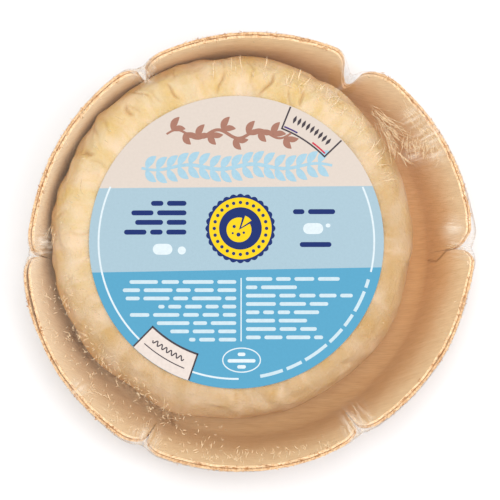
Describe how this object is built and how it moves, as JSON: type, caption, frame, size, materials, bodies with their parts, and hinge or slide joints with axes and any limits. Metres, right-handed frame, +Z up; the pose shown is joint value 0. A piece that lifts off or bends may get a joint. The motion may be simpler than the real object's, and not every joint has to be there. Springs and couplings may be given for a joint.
{
  "type": "film-wrapped soft cheese in a veneer tray",
  "caption": "Small round soft cheese in a moulded wood-veneer tray with flared petals, wrapped in clear shrink film, with round paper labels on top and underneath.",
  "frame": {"origin": "on the resting face, the underside of the back label, under the middle of the tray's flat base", "axes": "+Z up through the cheese, +X and +Y across the pack; the first notch between petals is just above +X"},
  "size_m": [0.0942, 0.093, 0.0209],
  "materials": {
    "cheese_rind": "satin",
    "inner_veneer": "matte",
    "outer_veneer": "matte",
    "clear_film": "gloss",
    "printed_label": "satin",
    "plain_label": "matte"
  },
  "bodies": {
    "root": {"cheese": "cheese_rind", "tray_inner_veneer": "inner_veneer", "tray_outer_veneer": "outer_veneer", "film_wrap": "clear_film", "front_label": "printed_label", "back_label": "plain_label"}
  },
  "joints": []
}
